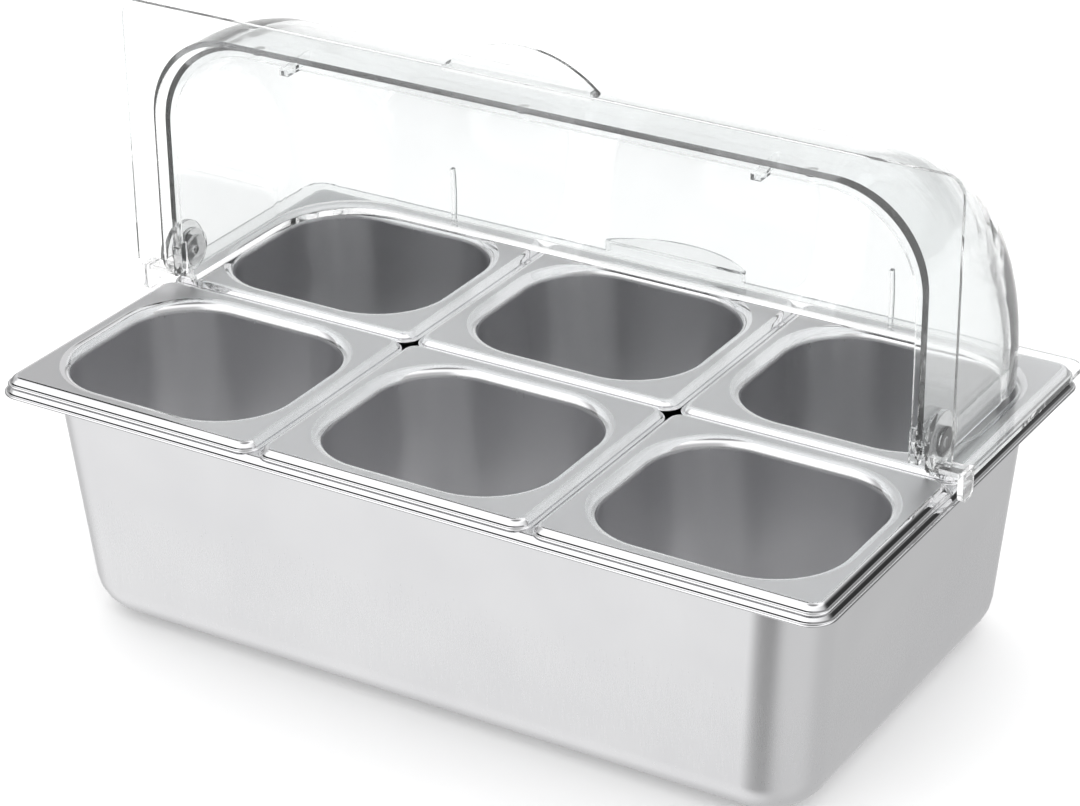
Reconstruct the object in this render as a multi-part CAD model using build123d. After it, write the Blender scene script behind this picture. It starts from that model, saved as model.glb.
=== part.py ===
from build123d import *
import math
import os

# Food display container: a deep steel pan, six small steel pans hanging in it, and a clear roll-top lid.
# Millimetres. The origin is the centre of the outer pan's base, X runs along it, Y to the back, Z up.
# The lid stands as on a counter: its rear shell is down and its front shell is rolled back over it.

# Outer pan, full gastronorm size, pressed from one stainless sheet
OUTER_LENGTH = 530.0
OUTER_WIDTH = 325.0
OUTER_HEIGHT = 153.0
OUTER_SHEET = 0.9
OUTER_RIM = 16.5
OUTER_RIM_CORNER = 15.0
OUTER_WALL_CORNER = 34.0
OUTER_FLOOR_ROUND = 26.0
OUTER_DRAFT = 0.078
OUTER_MOUTH_ROUND = 2.5

# Small pans, one sixth of that size, which fill the outer rim in columns and rows
COLUMNS = ("left", "centre", "right")
ROWS = ("front", "rear")
SMALL_INSET = 2.7
SMALL_GAP = 0.4
SMALL_HEIGHT = 102.0
SMALL_SHEET = 0.8
SMALL_RIM = 16.8
SMALL_RIM_CORNER = 11.0
SMALL_WALL_CORNER = 42.0
SMALL_FLOOR_ROUND = 20.0
SMALL_DRAFT = 0.085
SMALL_MOUTH_ROUND = 7.0

# Stepped edge that both kinds of rim have: a bend down from the flat, then a narrow ledge
RIM_DROP = 5.0
RIM_BEND_REACH = 4.5
RIM_LEDGE = 1.3
RIM_BEND_ROUND = 2.0
LEDGE_ROUND = 0.35

# Lid pivot line, above the flat rims of the small pans
PIVOT_RISE = 22.3

# Flat flange around the foot of both shells, which lies on the pans' rims
FLANGE_THICKNESS = 3.2
FLANGE_END_OVERHANG = 1.5
FLANGE_SIDE_SETBACK = 1.0
FLANGE_END_WIDTH = 17.5
FLANGE_SIDE_WIDTH = 14.0
FLANGE_CORNER = 11.0
FLANGE_FOOT = 3.0
FLANGE_FOOT_LENGTH = 10.0
REAR_FLANGE_START = 4.0

# Shells of the lid: the rear one is inside, and the front one rolls back outside it
SHELL_WALL = 2.4
NEST_GAP = 1.5
END_GAP = 1.8
REAR_SEAT_GAP = 0.2
FRONT_SEAT_GAP = 0.4
END_ROUND = 56.0
SHELL_OVERLAP = 15.0
LEG_DROP = 10.5

# Thick lip along the rear shell's arched edge
LIP_DEPTH = 5.2
LIP_WIDTH = 3.0

# Bumps on the rear shell that keep the front shell from rubbing
NUB_RADIUS = 3.6
NUB_PROUD = 1.1
NUB_SPACING = 176.0
NUB_INSET = 3.8

# Stops: tabs under the rear shell's arch, and ribs on the back of the front shell
STOP_SPACING = 150.0
TAB_WIDTH = 6.0
TAB_THICKNESS = 5.0
TAB_SETDOWN = 1.0
TAB_REACH = 11.0
TAB_RIB_WIDTH = 2.0
TAB_RIB_LENGTH = 16.0
RIB_WIDTH = 2.2
RIB_HEIGHT = 3.0
RIB_ANGLE = 13.0
RIB_SEAT_GAP = 0.3

# Thick foot at the lower end of the rear shell's arched edge
LEG_FOOT_DEPTH = 6.0
LEG_FOOT_HEIGHT = 20.0
LEG_FOOT_WIDTH = 5.0

# Moulded handles, one on each shell
HANDLE_CHORD = 96.0
HANDLE_SAGITTA = 18.0
HANDLE_PLATE = 2.4
HANDLE_RISE = 8.0
HANDLE_CHEEK = 2.4

# Hinge at each end: pin, spacer between the shells, side clip and cap
PIN_RADIUS = 2.5
PIN_CLEARANCE = 0.1
PIN_HEAD_RADIUS = 9.5
PIN_HEAD_THICKNESS = 2.5
BOSS_RADIUS = 13.0
BOSS_HEIGHT = 1.2
SIDE_CLEARANCE = 0.2
SPACER_RADIUS = 13.0
CLIP_DISC_RADIUS = 17.0
CLIP_THICKNESS = 3.0
CLIP_ARM_DEPTH = 11.0
CLIP_ARM_TOP = 11.5
CLIP_ARM_THICKNESS = 3.0
LUG_GAP = 0.7
LUG_THICKNESS = 3.5
LUG_DEPTH = 13.7
LUG_TOP = 10.5
LUG_BOTTOM = 28.0
LUG_ROUND = 5.0
CAP_RADIUS = 8.5
CAP_THICKNESS = 2.6
CAP_ROUND = 0.8
PIN_END_COVER = 1.0

# Rounding of exposed plastic edges, how far a cutting block runs past what it cuts, and how close two
# heights lie that count as one
SOFT_EDGE = 0.6
CUT_PAST = 2.0
SAME_HEIGHT = 0.01

# Places that follow from the sizes above
SMALL_PITCH_X = (OUTER_LENGTH - 2 * SMALL_INSET + SMALL_GAP) / len(COLUMNS)
SMALL_PITCH_Y = (OUTER_WIDTH - 2 * SMALL_INSET + SMALL_GAP) / len(ROWS)
SMALL_LENGTH = SMALL_PITCH_X - SMALL_GAP
SMALL_WIDTH = SMALL_PITCH_Y - SMALL_GAP
SMALL_FLAT = OUTER_HEIGHT + RIM_DROP
PIVOT_HEIGHT = SMALL_FLAT + PIVOT_RISE
FLANGE_HALF_LENGTH = OUTER_LENGTH / 2 + FLANGE_END_OVERHANG
FLANGE_REACH = OUTER_WIDTH / 2 - FLANGE_SIDE_SETBACK
FRONT_HALF_LENGTH = FLANGE_HALF_LENGTH - FLANGE_END_WIDTH
FRONT_ROOF_RADIUS = FLANGE_REACH - FLANGE_SIDE_WIDTH
REAR_HALF_LENGTH = FRONT_HALF_LENGTH - SHELL_WALL - END_GAP
REAR_ROOF_RADIUS = FRONT_ROOF_RADIUS - SHELL_WALL - NEST_GAP
FRONT_DROP = PIVOT_RISE - FRONT_SEAT_GAP
REAR_DROP = PIVOT_RISE - REAR_SEAT_GAP


def block(x_low, x_high, y_low, y_high, z_low, z_high):
    """Box between two corners."""
    centre = ((x_low + x_high) / 2, (y_low + y_high) / 2, (z_low + z_high) / 2)
    return Pos(*centre) * Box(x_high - x_low, y_high - y_low, z_high - z_low)


def disc(radius, x_low, x_high):
    """Round slice about the pivot line."""
    return Pos((x_low + x_high) / 2, 0, 0) * Rot(Y=90) * Cylinder(radius, x_high - x_low)


def slab(length, width, corner, height):
    """Rounded rectangle lying at a height."""
    return Pos(0, 0, height) * RectangleRounded(length, width, corner)


def level_edges(shape, height, length, width):
    """Edges lying at a height, inside a rectangle about the origin."""
    found = []
    for edge in shape.edges():
        box = edge.bounding_box()
        level = abs(box.min.Z - height) < SAME_HEIGHT and abs(box.max.Z - height) < SAME_HEIGHT
        inside = max(-box.min.X, box.max.X) < length / 2 and max(-box.min.Y, box.max.Y) < width / 2
        if level and inside:
            found.append(edge)
    return found


def tub(length, width, corner, depth, draft, floor_round):
    """Closed block whose mouth is at Z = 0 and which narrows downwards to a rounded floor."""
    narrow = 2 * draft * depth
    mouth = slab(length, width, corner, 0)
    floor = slab(length - narrow, width - narrow, corner, -depth)
    body = loft([mouth, floor], ruled=True)
    return fillet(level_edges(body, -depth, length, width), floor_round)


def rim_step(length, width, corner, wall):
    """Raised middle of a rim down to its ledge, taken in by a wall all round and from above."""
    top = RIM_BEND_REACH + wall
    foot = RIM_LEDGE + wall
    raised = loft(
        [
            slab(length - 2 * top, width - 2 * top, corner - top, -wall),
            slab(length - 2 * foot, width - 2 * foot, corner - foot, -RIM_DROP),
        ],
        ruled=True,
    )
    return fillet(level_edges(raised, -wall, length, width), RIM_BEND_ROUND - wall)


def rim_plate(length, width, corner, sheet):
    """Flat rim whose edge bends down and ends in a narrow ledge; its top is at Z = 0."""
    ledge = extrude(slab(length, width, corner, -RIM_DROP), sheet)
    ledge = fillet(level_edges(ledge, sheet - RIM_DROP, length + sheet, width + sheet), LEDGE_ROUND)
    return rim_step(length, width, corner, 0) + ledge - rim_step(length, width, corner, sheet)


def pressed_pan(length, width, height, rim, rim_corner, wall_corner, draft, floor_round, mouth_round, sheet):
    """Pan pressed from one sheet, with its flat rim at Z = 0."""
    inner_length = length - 2 * rim
    inner_width = width - 2 * rim
    outer_length = inner_length + 2 * sheet
    outer_width = inner_width + 2 * sheet
    outside = tub(outer_length, outer_width, wall_corner + sheet, height, draft, floor_round)
    inside = tub(inner_length, inner_width, wall_corner, height - sheet, draft, floor_round - sheet)
    pan = rim_plate(length, width, rim_corner, sheet) + outside
    under = level_edges(pan, -sheet, inner_length + 3 * sheet, inner_width + 3 * sheet)
    pan = fillet(under, mouth_round - sheet)
    pan -= inside
    return fillet(level_edges(pan, 0, inner_length + sheet, inner_width + sheet), mouth_round)


def turned_loaf(half_length, roof_radius):
    """Round bar about the pivot line, with soft ends."""
    outline = RectangleRounded(2 * half_length, 2 * roof_radius, END_ROUND)
    half = outline & Pos(0, roof_radius / 2, 0) * Rectangle(2 * half_length, roof_radius)
    return revolve(half, Axis.X, 360)


def cover_block(half_length, roof_radius, overlap, drop, leg_drop):
    """Block that fills a closed shell lying to the front of the pivot line, which is at the origin."""
    roof = turned_loaf(half_length, roof_radius)
    roof &= block(-half_length, half_length, -roof_radius, overlap, 0, roof_radius)
    plan = RectangleRounded(2 * half_length, 2 * roof_radius, END_ROUND)
    plan &= Pos(0, -roof_radius / 2, 0) * Rectangle(2 * half_length, roof_radius)
    skirt = extrude(plan, -drop)
    legs = block(-half_length, half_length, 0, overlap, -leg_drop, 0)
    return roof + skirt + legs


def shell_cavity(half_length, roof_radius, drop):
    """Hollow of such a shell, open below and towards the back."""
    return cover_block(
        half_length - SHELL_WALL,
        roof_radius - SHELL_WALL,
        SHELL_OVERLAP + CUT_PAST,
        drop + CUT_PAST,
        LEG_DROP + CUT_PAST,
    )


def flange(drop, start):
    """Flat flange of a closed shell, up to a distance in front of the pivot line."""
    plan = RectangleRounded(2 * FLANGE_HALF_LENGTH, 2 * FLANGE_REACH, FLANGE_CORNER)
    depth = FLANGE_REACH - start
    plan &= Pos(0, -start - depth / 2, 0) * Rectangle(2 * FLANGE_HALF_LENGTH, depth)
    return Pos(0, 0, -drop) * extrude(plan, FLANGE_THICKNESS)


def handle(drop):
    """D-shaped pull on the front of a flange: a plate held up by a back wall and two cheeks."""
    half = HANDLE_CHORD / 2
    low = FLANGE_THICKNESS - drop
    top = HANDLE_RISE + HANDLE_PLATE - drop
    back = HANDLE_CHEEK - FLANGE_REACH
    bow_radius = (half**2 + HANDLE_SAGITTA**2) / (2 * HANDLE_SAGITTA)
    bow = Pos(0, bow_radius - HANDLE_SAGITTA - FLANGE_REACH, 0) * Circle(bow_radius)
    reach = HANDLE_SAGITTA + HANDLE_CHEEK
    plan = bow & Pos(0, back - reach / 2, 0) * Rectangle(HANDLE_CHORD, reach)
    solid = extrude(Pos(0, 0, low) * plan, top - low)
    ends = [edge for edge in solid.edges().filter_by(Axis.Z) if edge.center().Y > back - 2 * HANDLE_CHEEK]
    solid = fillet(ends, HANDLE_CHEEK / 2)
    room = block(
        HANDLE_CHEEK - half,
        half - HANDLE_CHEEK,
        -FLANGE_REACH - HANDLE_SAGITTA - CUT_PAST,
        -FLANGE_REACH,
        low,
        top - HANDLE_PLATE,
    )
    return solid - room


def pivot_boss(face, outwards):
    """Two raised rings on the end walls around the pins, on the faces at plus and minus this X."""
    far = face + outwards * BOSS_HEIGHT
    ring = disc(BOSS_RADIUS, min(face, far), max(face, far))
    return ring + mirror(ring, Plane.YZ)


def pin_holes(half_length):
    """Running holes for both hinge pins."""
    radius = PIN_RADIUS + PIN_CLEARANCE
    hole = disc(radius, half_length - SHELL_WALL - BOSS_HEIGHT - CUT_PAST, half_length + CUT_PAST)
    return hole + mirror(hole, Plane.YZ)


def roof_rib(place, width, low_radius, high_radius, first_angle, last_angle):
    """Rib that follows the roof; angles are in degrees past the vertical, to the back."""
    outline = Pos(place, (low_radius + high_radius) / 2, 0) * Rectangle(width, high_radius - low_radius)
    upright = Rot(X=90 - last_angle) * outline
    return revolve(upright, Axis.X, last_angle - first_angle)


def front_shell():
    """Outer shell, drawn closed: it covers the front pans."""
    body = cover_block(FRONT_HALF_LENGTH, FRONT_ROOF_RADIUS, SHELL_OVERLAP, FRONT_DROP, LEG_DROP)
    body += flange(FRONT_DROP, 0)
    for side in (-1, 1):
        edge = side * FLANGE_HALF_LENGTH
        inner = side * (FLANGE_HALF_LENGTH - FLANGE_FOOT_LENGTH)
        floor = -FRONT_DROP
        body += block(min(edge, inner), max(edge, inner), 0, FLANGE_FOOT, floor, floor + FLANGE_THICKNESS)
    body -= shell_cavity(FRONT_HALF_LENGTH, FRONT_ROOF_RADIUS, FRONT_DROP)
    edge_angle = math.degrees(math.asin(SHELL_OVERLAP / FRONT_ROOF_RADIUS))
    seat = REAR_DROP - FLANGE_THICKNESS - RIB_SEAT_GAP
    stop_angle = math.degrees(math.asin(seat / (FRONT_ROOF_RADIUS + RIB_HEIGHT)))
    for place in (-STOP_SPACING, STOP_SPACING):
        low = FRONT_ROOF_RADIUS - SHELL_WALL / 2
        high = FRONT_ROOF_RADIUS + RIB_HEIGHT
        body += roof_rib(place, RIB_WIDTH, low, high, edge_angle - RIB_ANGLE, stop_angle)
    body += handle(FRONT_DROP)
    return body - pin_holes(FRONT_HALF_LENGTH)


def arch_lip():
    """Thick lip inside the rear shell's arched edge, with a foot at each lower end."""
    far = REAR_HALF_LENGTH
    outside = turned_loaf(far, REAR_ROOF_RADIUS)
    inside = turned_loaf(far - LIP_DEPTH, REAR_ROOF_RADIUS - LIP_DEPTH)
    lip = outside - inside
    lip &= block(-far, far, SHELL_OVERLAP - LIP_WIDTH, SHELL_OVERLAP, 0, REAR_ROOF_RADIUS)
    foot_top = LEG_FOOT_HEIGHT - LEG_DROP
    foot = block(far - LEG_FOOT_DEPTH, far, SHELL_OVERLAP - LEG_FOOT_WIDTH, SHELL_OVERLAP, -LEG_DROP, foot_top)
    return lip + foot + mirror(foot, Plane.YZ)


def stop_tab():
    """Tab under the arched edge with a rib on top, at X = 0, that stops the front shell."""
    top = REAR_ROOF_RADIUS - SHELL_WALL / 2
    low = top - TAB_THICKNESS
    half = TAB_WIDTH / 2
    half_rib = TAB_RIB_WIDTH / 2
    tab = block(-half, half, SHELL_OVERLAP - LIP_WIDTH, SHELL_OVERLAP + TAB_REACH, low, top - TAB_SETDOWN)
    rib = block(-half_rib, half_rib, SHELL_OVERLAP - TAB_RIB_LENGTH, SHELL_OVERLAP, low, top)
    return tab + rib


def roof_nub():
    """Shallow bump on the roof near the arched edge, at X = 0."""
    angle = math.asin((SHELL_OVERLAP - NUB_INSET) / REAR_ROOF_RADIUS)
    radius = (NUB_RADIUS**2 + NUB_PROUD**2) / (2 * NUB_PROUD)
    centre = REAR_ROOF_RADIUS + NUB_PROUD - radius
    dome = Pos(0, centre * math.sin(angle), centre * math.cos(angle)) * Sphere(radius)
    return dome - turned_loaf(REAR_HALF_LENGTH, REAR_ROOF_RADIUS - SHELL_WALL / 2)


def rear_shell():
    """Inner shell, drawn to the front of the pivot line like the other one."""
    body = cover_block(REAR_HALF_LENGTH, REAR_ROOF_RADIUS, SHELL_OVERLAP, REAR_DROP, LEG_DROP)
    body += flange(REAR_DROP, REAR_FLANGE_START)
    body -= shell_cavity(REAR_HALF_LENGTH, REAR_ROOF_RADIUS, REAR_DROP)
    body += arch_lip()
    for place in (-STOP_SPACING, STOP_SPACING):
        body += Pos(place, 0, 0) * stop_tab()
    for place in (-NUB_SPACING, 0, NUB_SPACING):
        body += Pos(place, 0, 0) * roof_nub()
    body += pivot_boss(REAR_HALF_LENGTH - SHELL_WALL, -1)
    body += handle(REAR_DROP)
    return body - pin_holes(REAR_HALF_LENGTH)


def hinge_clip():
    """Right-hand clip: a disc on the pin, an arm over the rim and a lug that hangs outside the rim."""
    near = FRONT_HALF_LENGTH + SIDE_CLEARANCE
    lug_near = FLANGE_HALF_LENGTH + LUG_GAP
    lug_far = lug_near + LUG_THICKNESS
    body = disc(CLIP_DISC_RADIUS, near, near + CLIP_THICKNESS)
    body += block(near, lug_far, -CLIP_ARM_DEPTH, 0, -CLIP_ARM_TOP - CLIP_ARM_THICKNESS, -CLIP_ARM_TOP)
    lug = block(lug_near, lug_far, -LUG_DEPTH, 0, -LUG_BOTTOM, -LUG_TOP)
    foot = [edge for edge in lug.edges().filter_by(Axis.X) if edge.center().Z < -(LUG_TOP + LUG_BOTTOM) / 2]
    lug = fillet(foot, LUG_ROUND)
    body += lug
    return body - disc(PIN_RADIUS, near - CUT_PAST, near + CLIP_THICKNESS + CUT_PAST)


def pivot_pin():
    """Right-hand pin, with its head inside the lid."""
    inner = REAR_HALF_LENGTH - SHELL_WALL - BOSS_HEIGHT - SIDE_CLEARANCE
    outer = FRONT_HALF_LENGTH + SIDE_CLEARANCE + CLIP_THICKNESS + CAP_THICKNESS - PIN_END_COVER
    head = disc(PIN_HEAD_RADIUS, inner - PIN_HEAD_THICKNESS, inner)
    rim = [edge for edge in head.edges() if edge.center().X < inner - SOFT_EDGE]
    return fillet(rim, SOFT_EDGE) + disc(PIN_RADIUS, inner, outer)


def spacer():
    """Right-hand spacer ring between the two shells."""
    low = REAR_HALF_LENGTH + SIDE_CLEARANCE / 2
    high = REAR_HALF_LENGTH + END_GAP - SIDE_CLEARANCE / 2
    return disc(SPACER_RADIUS, low, high) - disc(PIN_RADIUS, low - CUT_PAST, high + CUT_PAST)


def pivot_cap():
    """Right-hand cap pressed on the outer end of the pin."""
    low = FRONT_HALF_LENGTH + SIDE_CLEARANCE + CLIP_THICKNESS
    high = low + CAP_THICKNESS
    cap = disc(CAP_RADIUS, low, high)
    rim = [edge for edge in cap.edges() if edge.center().X > high - SOFT_EDGE]
    cap = fillet(rim, CAP_ROUND)
    return cap - disc(PIN_RADIUS, low - CUT_PAST, high - PIN_END_COVER)


def build():
    """All pieces in place, by name."""
    pieces = {}
    pieces["outer_pan"] = Pos(0, 0, OUTER_HEIGHT) * pressed_pan(
        OUTER_LENGTH,
        OUTER_WIDTH,
        OUTER_HEIGHT,
        OUTER_RIM,
        OUTER_RIM_CORNER,
        OUTER_WALL_CORNER,
        OUTER_DRAFT,
        OUTER_FLOOR_ROUND,
        OUTER_MOUTH_ROUND,
        OUTER_SHEET,
    )
    small_pan = pressed_pan(
        SMALL_LENGTH,
        SMALL_WIDTH,
        SMALL_HEIGHT,
        SMALL_RIM,
        SMALL_RIM_CORNER,
        SMALL_WALL_CORNER,
        SMALL_DRAFT,
        SMALL_FLOOR_ROUND,
        SMALL_MOUTH_ROUND,
        SMALL_SHEET,
    )
    for row_count, row in enumerate(ROWS):
        y = (row_count - (len(ROWS) - 1) / 2) * SMALL_PITCH_Y
        for column_count, column in enumerate(COLUMNS):
            x = (column_count - (len(COLUMNS) - 1) / 2) * SMALL_PITCH_X
            pieces[f"pan_{row}_{column}"] = Pos(x, y, SMALL_FLAT) * small_pan
    pivot = Pos(0, 0, PIVOT_HEIGHT)
    pieces["rear_shell"] = pivot * Rot(Z=180) * rear_shell()
    pieces["front_shell"] = pivot * Rot(X=-90) * front_shell()
    hinge = {"hinge_clip": hinge_clip(), "pivot_pin": pivot_pin(), "spacer": spacer(), "pivot_cap": pivot_cap()}
    for name, piece in hinge.items():
        pieces[f"{name}_right"] = pivot * piece
        pieces[f"{name}_left"] = pivot * mirror(piece, Plane.YZ)
    return pieces


def main():
    os.makedirs("parts", exist_ok=True)
    for name, piece in build().items():
        export_step(piece, f"parts/{name}.step")
        print(name, len(piece.solids()), round(piece.volume))


main()
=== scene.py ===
import math

import bmesh
import bpy
from mathutils import Matrix, Vector


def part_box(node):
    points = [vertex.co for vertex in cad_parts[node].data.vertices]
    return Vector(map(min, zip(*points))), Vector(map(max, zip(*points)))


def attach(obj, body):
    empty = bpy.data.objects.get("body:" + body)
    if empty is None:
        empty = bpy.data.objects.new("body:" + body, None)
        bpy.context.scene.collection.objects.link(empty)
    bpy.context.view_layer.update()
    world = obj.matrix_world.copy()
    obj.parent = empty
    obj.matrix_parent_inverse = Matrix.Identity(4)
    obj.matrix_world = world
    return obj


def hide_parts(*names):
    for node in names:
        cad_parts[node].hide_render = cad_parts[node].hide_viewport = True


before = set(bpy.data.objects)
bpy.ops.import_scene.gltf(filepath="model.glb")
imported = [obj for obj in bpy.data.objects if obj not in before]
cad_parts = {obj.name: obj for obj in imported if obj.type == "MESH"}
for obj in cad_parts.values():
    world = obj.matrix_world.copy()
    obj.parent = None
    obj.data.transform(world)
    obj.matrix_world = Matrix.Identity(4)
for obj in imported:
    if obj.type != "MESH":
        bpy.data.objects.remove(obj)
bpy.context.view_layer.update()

# View
# The container is seen from in front of its right end and from above, through a long lens.
VIEW_TURN = 31.55
VIEW_RISE = 26.85
VIEW_ROLL = -0.67
VIEW_DISTANCE = 1.9462
VIEW_AIM = Vector((0.0046, -0.0065, 0.1423))
VIEW_LENS = 114.05
FILM_WIDTH = 36.0
VIEW_NEAREST = 0.05
VIEW_FURTHEST = 60.0

camera_data = bpy.data.cameras.new("camera")
camera_data.lens = VIEW_LENS
camera_data.sensor_fit = "HORIZONTAL"
camera_data.sensor_width = FILM_WIDTH
camera_data.clip_start = VIEW_NEAREST
camera_data.clip_end = VIEW_FURTHEST
camera = bpy.data.objects.new("camera", camera_data)
bpy.context.scene.collection.objects.link(camera)
camera.matrix_world = (
    Matrix.Translation(VIEW_AIM)
    @ Matrix.Rotation(math.radians(VIEW_TURN), 4, "Z")
    @ Matrix.Rotation(math.radians(90 - VIEW_RISE), 4, "X")
    @ Matrix.Rotation(math.radians(VIEW_ROLL), 4, "Z")
    @ Matrix.Translation((0, 0, VIEW_DISTANCE))
)
bpy.context.scene.camera = camera
bpy.context.scene.view_settings.view_transform = "Standard"

# Table top
# A large sheet of white laminate that the container stands on. It stays out of the reflections in the
# steel, where the studio tent below eye level stands for it.
TABLE_HALF = 12.0
TABLE_WHITE = "#FAFAFA"


def linear(colour):
    """Linear red, green, blue and alpha of an sRGB hex colour."""
    channels = [int(colour[place : place + 2], 16) / 255 for place in (1, 3, 5)]
    return [c / 12.92 if c <= 0.04045 else ((c + 0.055) / 1.055) ** 2.4 for c in channels] + [1.0]


def add(tree, kind, sockets, **settings):
    """Add a node: sockets are named or numbered, and each takes a value or the output that feeds it."""
    node = tree.nodes.new(kind)
    for name, value in settings.items():
        setattr(node, name, value)
    for name, value in sockets.items():
        if isinstance(value, bpy.types.NodeSocket):
            tree.links.new(value, node.inputs[name])
        else:
            node.inputs[name].default_value = value
    return node


def new_material(name):
    """Material with an empty node tree."""
    material = bpy.data.materials.new(name)
    material.use_nodes = True
    material.node_tree.nodes.clear()
    return material


def white_laminate():
    """Plain matt white that shows nothing but the soft shade under the container."""
    material = new_material("white_laminate")
    tree = material.node_tree
    face = add(tree, "ShaderNodeBsdfDiffuse", {"Color": linear(TABLE_WHITE)})
    add(tree, "ShaderNodeOutputMaterial", {"Surface": face.outputs[0]})
    return material


table_mesh = bmesh.new()
bmesh.ops.create_grid(table_mesh, x_segments=1, y_segments=1, size=TABLE_HALF)
table_data = bpy.data.meshes.new("table_top")
table_mesh.to_mesh(table_data)
table_mesh.free()
table_data.materials.append(white_laminate())
table = bpy.data.objects.new("table_top", table_data)
bpy.context.scene.collection.objects.link(table)
table.visible_glossy = False

# Studio tent
# White cloth all round, lit from outside and hung with flags, with a darker band at eye level. A patch is a
# place on the cloth: its turn to the right of the front, its rise above eye level, its radius and that of
# its soft edge, in degrees, and how bright it is. Steel, clear plastic and shade each have their own light.
TENT_WHITE = "#FFFFFF"
STEEL_TENT_BASE = 0.68
STEEL_TENT_PATCHES = (
    (0, 90, 30, 55, 1.5),
    (0, 90, 8, 26, 0.35),
    (-150, 27, 14, 40, 0.88),
    (-137, 46, 11, 16, 0.02),
    (-30, 27, 24, 46, 1.6),
    (138, 8, 3, 43, 0.03),
    (-38, -35, 25, 60, 1.08),
    (12, -36, 4, 33, 0.38),
    (75, -35, 20, 45, 0.8),
    (150, -33, 22, 50, 0.66),
)
STEEL_EYE_LEVEL = 0.35
STEEL_FRONT_FLAG = (-31, 0, 35, 65, 0.02)
STEEL_FAR_SIDE = (-148, -14, 20, 32, 1.05)
CLEAR_TENT_BASE = 1.45
CLEAR_TENT_PATCHES = (
    (150, 20, 20, 50, 1.2),
    (-150, 27, 16, 40, 1.05),
)
CLEAR_EYE_LEVEL = 0.75
CLEAR_FRONT_FLAG = (-31, 0, 35, 65, 0.7)
CLEAR_FAR_SIDE = (-148, -12, 20, 34, 1.2)
EYE_LEVEL_HALF = 0.2
EYE_LEVEL_FADE = 0.3
SHADE_TENT = 1.48
BACKDROP = 1.0


def painted_patch(tree, view, level, turn, rise, radius, reach, bright):
    """Brightness of the tent with one soft round patch on it."""
    turn, rise = math.radians(turn), math.radians(rise)
    centre = (math.sin(turn) * math.cos(rise), -math.cos(turn) * math.cos(rise), math.sin(rise))
    cosine = add(tree, "ShaderNodeVectorMath", {0: view, 1: centre}, operation="DOT_PRODUCT")
    nearness = cosine.outputs["Value"]
    edge = {"From Min": math.cos(math.radians(reach)), "From Max": math.cos(math.radians(radius))}
    soft = add(tree, "ShaderNodeMapRange", {"Value": nearness, **edge}, interpolation_type="SMOOTHSTEP")
    return add(tree, "ShaderNodeMix", {"Factor": soft.outputs[0], "A": level, "B": bright}).outputs[0]


def painted_tent(tree, view, base, patches, eye_level, front_flag, far_side):
    """Brightness of the tent along a direction: patches, the band at eye level and the far side."""
    level = base
    for patch in patches:
        level = painted_patch(tree, view, level, *patch)
    height = add(tree, "ShaderNodeSeparateXYZ", {0: view}).outputs["Z"]
    height = add(tree, "ShaderNodeMath", {0: height}, operation="ABSOLUTE").outputs[0]
    edge = {"From Min": EYE_LEVEL_FADE, "From Max": EYE_LEVEL_HALF}
    rim = add(tree, "ShaderNodeMapRange", {"Value": height, **edge}, interpolation_type="SMOOTHSTEP")
    cloth_edge = painted_patch(tree, view, eye_level, *front_flag)
    level = add(tree, "ShaderNodeMix", {"Factor": rim.outputs[0], "A": level, "B": cloth_edge}).outputs[0]
    return painted_patch(tree, view, level, *far_side)


tent = bpy.data.worlds.new("studio_tent")
bpy.context.scene.world = tent
tent.use_nodes = True
tent.node_tree.nodes.clear()
direction = add(tent.node_tree, "ShaderNodeTexCoord", {}).outputs["Generated"]
ray = add(tent.node_tree, "ShaderNodeLightPath", {}).outputs
steel_tent = painted_tent(tent.node_tree, direction, STEEL_TENT_BASE, STEEL_TENT_PATCHES, STEEL_EYE_LEVEL,
    STEEL_FRONT_FLAG, STEEL_FAR_SIDE)
clear_tent = painted_tent(tent.node_tree, direction, CLEAR_TENT_BASE, CLEAR_TENT_PATCHES, CLEAR_EYE_LEVEL,
    CLEAR_FRONT_FLAG, CLEAR_FAR_SIDE)
mixes = (
    (ray["Is Transmission Ray"], clear_tent),
    (ray["Is Diffuse Ray"], SHADE_TENT),
    (ray["Is Camera Ray"], BACKDROP),
)
brightness = steel_tent
for chosen, level in mixes:
    mixed = add(tent.node_tree, "ShaderNodeMix", {"Factor": chosen, "A": brightness, "B": level})
    brightness = mixed.outputs[0]
tent.cycles.sampling_method = "NONE"
cloth = add(tent.node_tree, "ShaderNodeBackground", {"Color": linear(TENT_WHITE), "Strength": brightness})
add(tent.node_tree, "ShaderNodeOutputWorld", {"Surface": cloth.outputs[0]})

# Outer pan
# The deep full-size pan that stands on the counter, deep-drawn from one stainless sheet. Its walls keep the
# satin of the rolled sheet, and the bends of its stepped rim shine where the die has ironed them. The real
# grain is about a tenth of a millimetre wide, too fine to show, so it is drawn coarser.
STEEL_GREY = "#E2E2E3"
STEEL_DULL_GREY = "#D6D6D8"
OUTER_ROUGHNESS = 0.3
ROUGHNESS_SPREAD = 0.03
IRONED_ROUGHNESS = 0.06
GRAIN_WIDTH = 0.0009
GRAIN_LENGTH = 0.05
GRAIN_DEPTH = 0.0000004
GRAIN_DETAIL = 3.0
GRAIN_MIX = 0.6
GRAIN_LOW = 0.3
GRAIN_HIGH = 0.7
BLOTCH_SIZE = 0.07
BLOTCH_DETAIL = 2.0
IRONED = 1.0
IRONED_BEND_END = 0.6
IRONED_MOUTH_FOOT = 0.4
IRONED_MOUTH_SHARE = 0.5
RIM_REACH = 0.0042
RIM_SLOPE_DROP = 0.0028
RIM_DROP = 0.005
RIM_LEDGE = 0.0015
RIM_WALL_TILT = 77
RIM_BEND = 0.004
RIM_SHOULDER = 0.0007
RIM_BEAD = 0.00105
RIM_CREASE = 0.00025
BEND_STEPS = 6
MOUTH_STEPS = 12
CORNER_STEPS = 22
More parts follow.
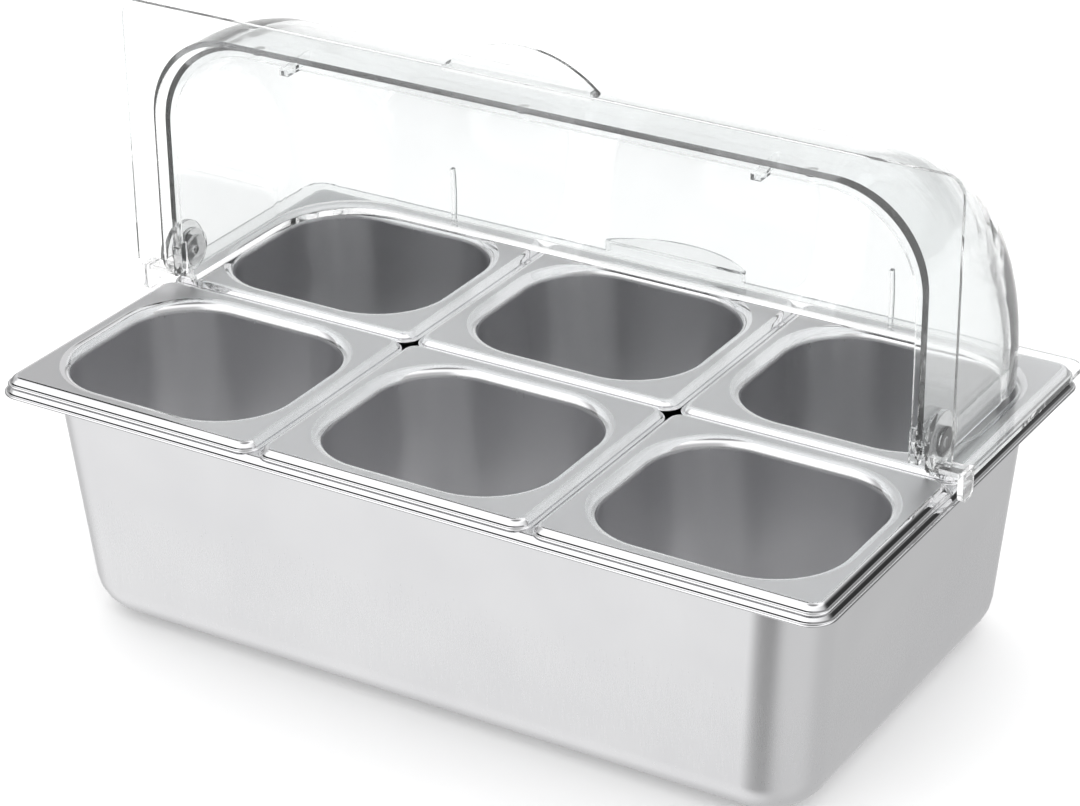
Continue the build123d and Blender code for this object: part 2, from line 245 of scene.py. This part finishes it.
OUTER_SHEET = 0.0009


def satin_stainless(name, roughness):
    """Rolled stainless sheet: soft upright grain, faint cloudy patches, and polish where it was ironed."""
    material = new_material(name)
    tree = material.node_tree
    place = add(tree, "ShaderNodeTexCoord", {}).outputs["Object"]
    stretch = (1 / GRAIN_WIDTH, 1 / GRAIN_WIDTH, 1 / GRAIN_LENGTH)
    lines = add(tree, "ShaderNodeMapping", {"Vector": place, "Scale": stretch}).outputs[0]
    streaks = {"Vector": lines, "Scale": 1.0, "Detail": GRAIN_DETAIL, "Roughness": GRAIN_MIX}
    grain = add(tree, "ShaderNodeTexNoise", streaks)
    blotches = {"Vector": place, "Scale": 1 / BLOTCH_SIZE, "Detail": BLOTCH_DETAIL}
    cloud = add(tree, "ShaderNodeTexNoise", blotches)
    ironed = add(tree, "ShaderNodeAttribute", {}, attribute_name="ironed").outputs["Fac"]
    spread = {"To Min": roughness - ROUGHNESS_SPREAD, "To Max": roughness + ROUGHNESS_SPREAD}
    satin = add(tree, "ShaderNodeMapRange", {"Value": grain.outputs[0], "From Min": GRAIN_LOW,
        "From Max": GRAIN_HIGH, **spread}).outputs[0]
    polish = add(tree, "ShaderNodeMix", {"Factor": ironed, "A": satin, "B": IRONED_ROUGHNESS}).outputs[0]
    colour = add(tree, "ShaderNodeMix", {"Factor": cloud.outputs[0], "A": linear(STEEL_GREY),
        "B": linear(STEEL_DULL_GREY)}, data_type="RGBA").outputs["Result"]
    bump = add(tree, "ShaderNodeBump", {"Height": grain.outputs[0], "Distance": GRAIN_DEPTH}).outputs[0]
    sheet = {"Base Color": colour, "Metallic": 1.0, "Roughness": polish, "Normal": bump}
    face = add(tree, "ShaderNodeBsdfPrincipled", sheet)
    add(tree, "ShaderNodeOutputMaterial", {"Surface": face.outputs[0]})
    return material


def arc(centre, radius, first, last, steps, inwards):
    """Points on a bend between two tilts of its face, as distance in from the rim's edge and height."""
    tilts = [math.radians(first + (last - first) * step / steps) for step in range(steps + 1)]
    across, up = centre
    return [(across + inwards * radius * math.sin(tilt), up + radius * math.cos(tilt)) for tilt in tilts]


def rim_line():
    """The stepped rim in section, from its beaded edge up to the flat, which is at height 0."""
    bead_top = RIM_BEAD - RIM_DROP
    lean = math.radians(90 - RIM_WALL_TILT)
    knee = (RIM_LEDGE - (RIM_SLOPE_DROP + bead_top) * math.tan(lean), -RIM_SLOPE_DROP)
    slope = math.degrees(math.atan2(RIM_SLOPE_DROP, RIM_REACH - knee[0]))
    below = RIM_SHOULDER * math.tan(math.radians((RIM_WALL_TILT - slope) / 2))
    shoulder = (
        knee[0] - below * math.sin(lean) + RIM_SHOULDER * math.cos(lean),
        knee[1] - below * math.cos(lean) - RIM_SHOULDER * math.sin(lean),
    )
    bend_end = RIM_REACH + RIM_BEND * math.tan(math.radians(slope / 2))
    line = arc((RIM_BEAD, -RIM_DROP), RIM_BEAD, 90, 0, BEND_STEPS, -1)
    line.append((RIM_LEDGE - RIM_CREASE, bead_top))
    line.append((RIM_LEDGE + RIM_CREASE * math.tan(lean), bead_top + RIM_CREASE))
    line += arc(shoulder, RIM_SHOULDER, RIM_WALL_TILT, slope, BEND_STEPS, -1)
    return line + arc((bend_end, -RIM_BEND), RIM_BEND, slope, 0, BEND_STEPS, -1)


def pressed_pan(name, node, rim, rim_corner, wall_corner, draft, mouth, floor_round, sheet, material):
    """Pan drawn as rings from its beaded edge over the rim and down to the floor, as thick as its sheet."""
    low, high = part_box(node)
    depth = high.z - low.z - sheet
    half = ((high.x - low.x) / 2, (high.y - low.y) / 2)
    middle = ((high.x + low.x) / 2, (high.y + low.y) / 2)
    upright = 90 - math.degrees(math.atan(draft))
    stretch = 1 / math.cos(math.atan(draft))
    mouth_centre = (rim + draft * mouth - mouth * stretch, -mouth)
    turn_height = floor_round - depth
    floor_centre = (rim - draft * turn_height + floor_round * stretch, turn_height)
    rings = [(place, height, rim_corner - place, IRONED) for place, height in rim_line()]
    place, height, corner, _ = rings.pop()
    rings.append((place, height, corner, IRONED_BEND_END))
    rings.append((place + RIM_CREASE, 0.0, corner - RIM_CREASE, 0.0))
    place = mouth_centre[0]
    rings.append((place - RIM_CREASE, 0.0, wall_corner + rim - place + RIM_CREASE, 0.0))
    for place, height in arc(mouth_centre, mouth, 0, upright, MOUTH_STEPS, 1):
        shine = IRONED if height > -mouth * IRONED_MOUTH_SHARE else IRONED_MOUTH_FOOT
        rings.append((place, height, wall_corner + rim - place, shine))
    for place, height in arc(floor_centre, -floor_round, upright, 0, BEND_STEPS, 1):
        rings.append((place, height, wall_corner - (place - rim + draft * height), 0.0))

    shape = bmesh.new()
    step = shape.verts.layers.int.new("step")
    ironed = shape.verts.layers.float.new("ironed")
    corner_steps = CORNER_STEPS + 1
    verts = bmesh.ops.create_circle(shape, cap_ends=False, segments=4 * corner_steps, radius=1)["verts"]
    for number, vert in enumerate(verts):
        vert[step] = number
    edges = shape.edges[:]
    for count, (place, height, corner, shine) in enumerate(rings):
        if count:
            grown = bmesh.ops.extrude_edge_only(shape, edges=edges)["geom"]
            edges = [part for part in grown if isinstance(part, bmesh.types.BMEdge)]
            verts = [part for part in grown if isinstance(part, bmesh.types.BMVert)]
        for vert in verts:
            quarter, part = divmod(vert[step], corner_steps)
            turn = math.radians(90 * (quarter + part / CORNER_STEPS))
            side = ((1, 1), (-1, 1), (-1, -1), (1, -1))[quarter]
            vert.co.x = middle[0] + side[0] * (half[0] - place - corner) + corner * math.cos(turn)
            vert.co.y = middle[1] + side[1] * (half[1] - place - corner) + corner * math.sin(turn)
            vert.co.z = high.z + height
            vert[ironed] = shine
    floor = bmesh.ops.contextual_create(shape, geom=edges)["faces"]
    bmesh.ops.recalc_face_normals(shape, faces=shape.faces)
    if floor[0].normal.z < 0:
        bmesh.ops.reverse_faces(shape, faces=shape.faces)
    for face in shape.faces:
        face.smooth = True
    data = bpy.data.meshes.new(name)
    shape.to_mesh(data)
    shape.free()
    data.materials.append(material)
    pan = bpy.data.objects.new(name, data)
    bpy.context.scene.collection.objects.link(pan)
    wall = pan.modifiers.new("sheet", "SOLIDIFY")
    wall.thickness = sheet
    wall.offset = -1
    pan.modifiers.new("even_faces", "WEIGHTED_NORMAL").keep_sharp = True
    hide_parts(node)
    return pan


OUTER_RIM = 0.0165
OUTER_RIM_CORNER = 0.015
OUTER_WALL_CORNER = 0.034
OUTER_DRAFT = 0.078
OUTER_MOUTH = 0.0025
OUTER_FLOOR = 0.0251
deep_steel = satin_stainless("satin_stainless_deep", OUTER_ROUGHNESS)
deep_pan = pressed_pan("deep_pan", "outer_pan", OUTER_RIM, OUTER_RIM_CORNER, OUTER_WALL_CORNER, OUTER_DRAFT,
    OUTER_MOUTH, OUTER_FLOOR, OUTER_SHEET, deep_steel)
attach(deep_pan, "base")

# Small pans
# Six one-sixth pans that hang in the outer rim, each pressed from thinner sheet of the same steel and
# lifted out by hand. They have the same stepped rim, and a wide round mouth.
SMALL_SHEET = 0.0008
SMALL_RIM = 0.0168
SMALL_RIM_CORNER = 0.011
SMALL_WALL_CORNER = 0.042
SMALL_DRAFT = 0.085
SMALL_MOUTH = 0.007
SMALL_FLOOR = 0.0192
SMALL_ROUGHNESS = 0.44
small_steel = satin_stainless("satin_stainless_small", SMALL_ROUGHNESS)
for row in ("front", "rear"):
    for column in ("left", "centre", "right"):
        body = f"front_{column}_pan" if row == "front" else "base"
        name = f"{row}_{column}_small_pan"
        small_pan = pressed_pan(name, f"pan_{row}_{column}", SMALL_RIM, SMALL_RIM_CORNER, SMALL_WALL_CORNER,
            SMALL_DRAFT, SMALL_MOUTH, SMALL_FLOOR, SMALL_SHEET, small_steel)
        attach(small_pan, body)

# Rear shell of the lid
# Injection-moulded clear polycarbonate, one piece with its flange, handle, lip and stops. It is glossy and
# colourless, and its cut edges look grey, because light that runs along in the sheet leaves it only there.
# Moulding leaves every edge slightly round.
CLEAR_TINT = "#FAFBFB"
CLEAR_ROUGHNESS = 0.012
SHELL_CLEARNESS = 0.985
POLYCARBONATE_IOR = 1.585
SHELL_EDGE = 0.001
EDGE_STEPS = 3
MERGE_GAP = 0.000002
FLAT_ANGLE = 0.5
EDGE_ANGLE = 30.0
WAVE_LENGTH = 0.045
WAVE_DEPTH = 0.00001
WAVE_DETAIL = 1.0
LIGHT_TURNS = 40


def clear_polycarbonate(name, tint, roughness, clearness):
    """Clear glossy plastic, with the slow waviness that a moulded sheet has."""
    material = new_material(name)
    tree = material.node_tree
    place = add(tree, "ShaderNodeTexCoord", {}).outputs["Object"]
    ripples = {"Vector": place, "Scale": 1 / WAVE_LENGTH, "Detail": WAVE_DETAIL}
    waves = add(tree, "ShaderNodeTexNoise", ripples)
    bump = add(tree, "ShaderNodeBump", {"Height": waves.outputs[0], "Distance": WAVE_DEPTH}).outputs[0]
    sheet = {"Base Color": linear(tint), "Roughness": roughness, "IOR": POLYCARBONATE_IOR,
        "Transmission Weight": clearness, "Normal": bump}
    face = add(tree, "ShaderNodeBsdfPrincipled", sheet)
    add(tree, "ShaderNodeOutputMaterial", {"Surface": face.outputs[0]})
    return material


def moulded_copy(name, node, edge, material):
    """Copy of a node with its triangles joined into whole faces and its sharp edges rounded."""
    shape = bmesh.new()
    shape.from_mesh(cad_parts[node].data)
    bmesh.ops.remove_doubles(shape, verts=shape.verts, dist=MERGE_GAP)
    flat = math.radians(FLAT_ANGLE)
    bmesh.ops.dissolve_limit(shape, angle_limit=flat, verts=shape.verts, edges=shape.edges)
    sharp = [line for line in shape.edges if line.calc_face_angle(0) > math.radians(EDGE_ANGLE)]
    bmesh.ops.bevel(shape, geom=sharp, offset=edge, offset_type="OFFSET", segments=EDGE_STEPS, profile=0.5,
        affect="EDGES", material=-1, clamp_overlap=True)
    for face in shape.faces:
        face.smooth = True
    data = bpy.data.meshes.new(name)
    shape.to_mesh(data)
    shape.free()
    data.materials.append(material)
    piece = bpy.data.objects.new(name, data)
    bpy.context.scene.collection.objects.link(piece)
    piece.modifiers.new("even_faces", "WEIGHTED_NORMAL").keep_sharp = True
    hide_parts(node)
    return piece


bpy.context.scene.cycles.max_bounces = LIGHT_TURNS
bpy.context.scene.cycles.glossy_bounces = LIGHT_TURNS
bpy.context.scene.cycles.transmission_bounces = LIGHT_TURNS
clear_shell = clear_polycarbonate("polycarbonate_shell", CLEAR_TINT, CLEAR_ROUGHNESS, SHELL_CLEARNESS)
rear = moulded_copy("rear_lid_shell", "rear_shell", SHELL_EDGE, clear_shell)
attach(rear, "rear_lid")

# Front shell of the lid
# The same moulding in the same clear plastic, a little larger, so that it rolls back outside the rear
# shell. It turns on the same two pins.
front = moulded_copy("front_lid_shell", "front_shell", SHELL_EDGE, clear_shell)
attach(front, "front_lid")

# Hinge set
# At each end a clip, a spacer and a cap sit on one headed pin, and the clip's lug hangs outside the rim.
# All are small thick mouldings of clear plastic, so they look denser than the shells.
FITTING_TINT = "#FEFEFE"
FITTING_ROUGHNESS = 0.03
FITTING_CLEARNESS = 0.93
FITTING_EDGE = 0.0004
clear_fitting = clear_polycarbonate(
    "polycarbonate_fitting", FITTING_TINT, FITTING_ROUGHNESS, FITTING_CLEARNESS
)
for side in ("left", "right"):
    for part in ("hinge_clip", "pivot_pin", "spacer", "pivot_cap"):
        fitting = moulded_copy(f"{side}_{part}", f"{part}_{side}", FITTING_EDGE, clear_fitting)
        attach(fitting, "hinge_set")
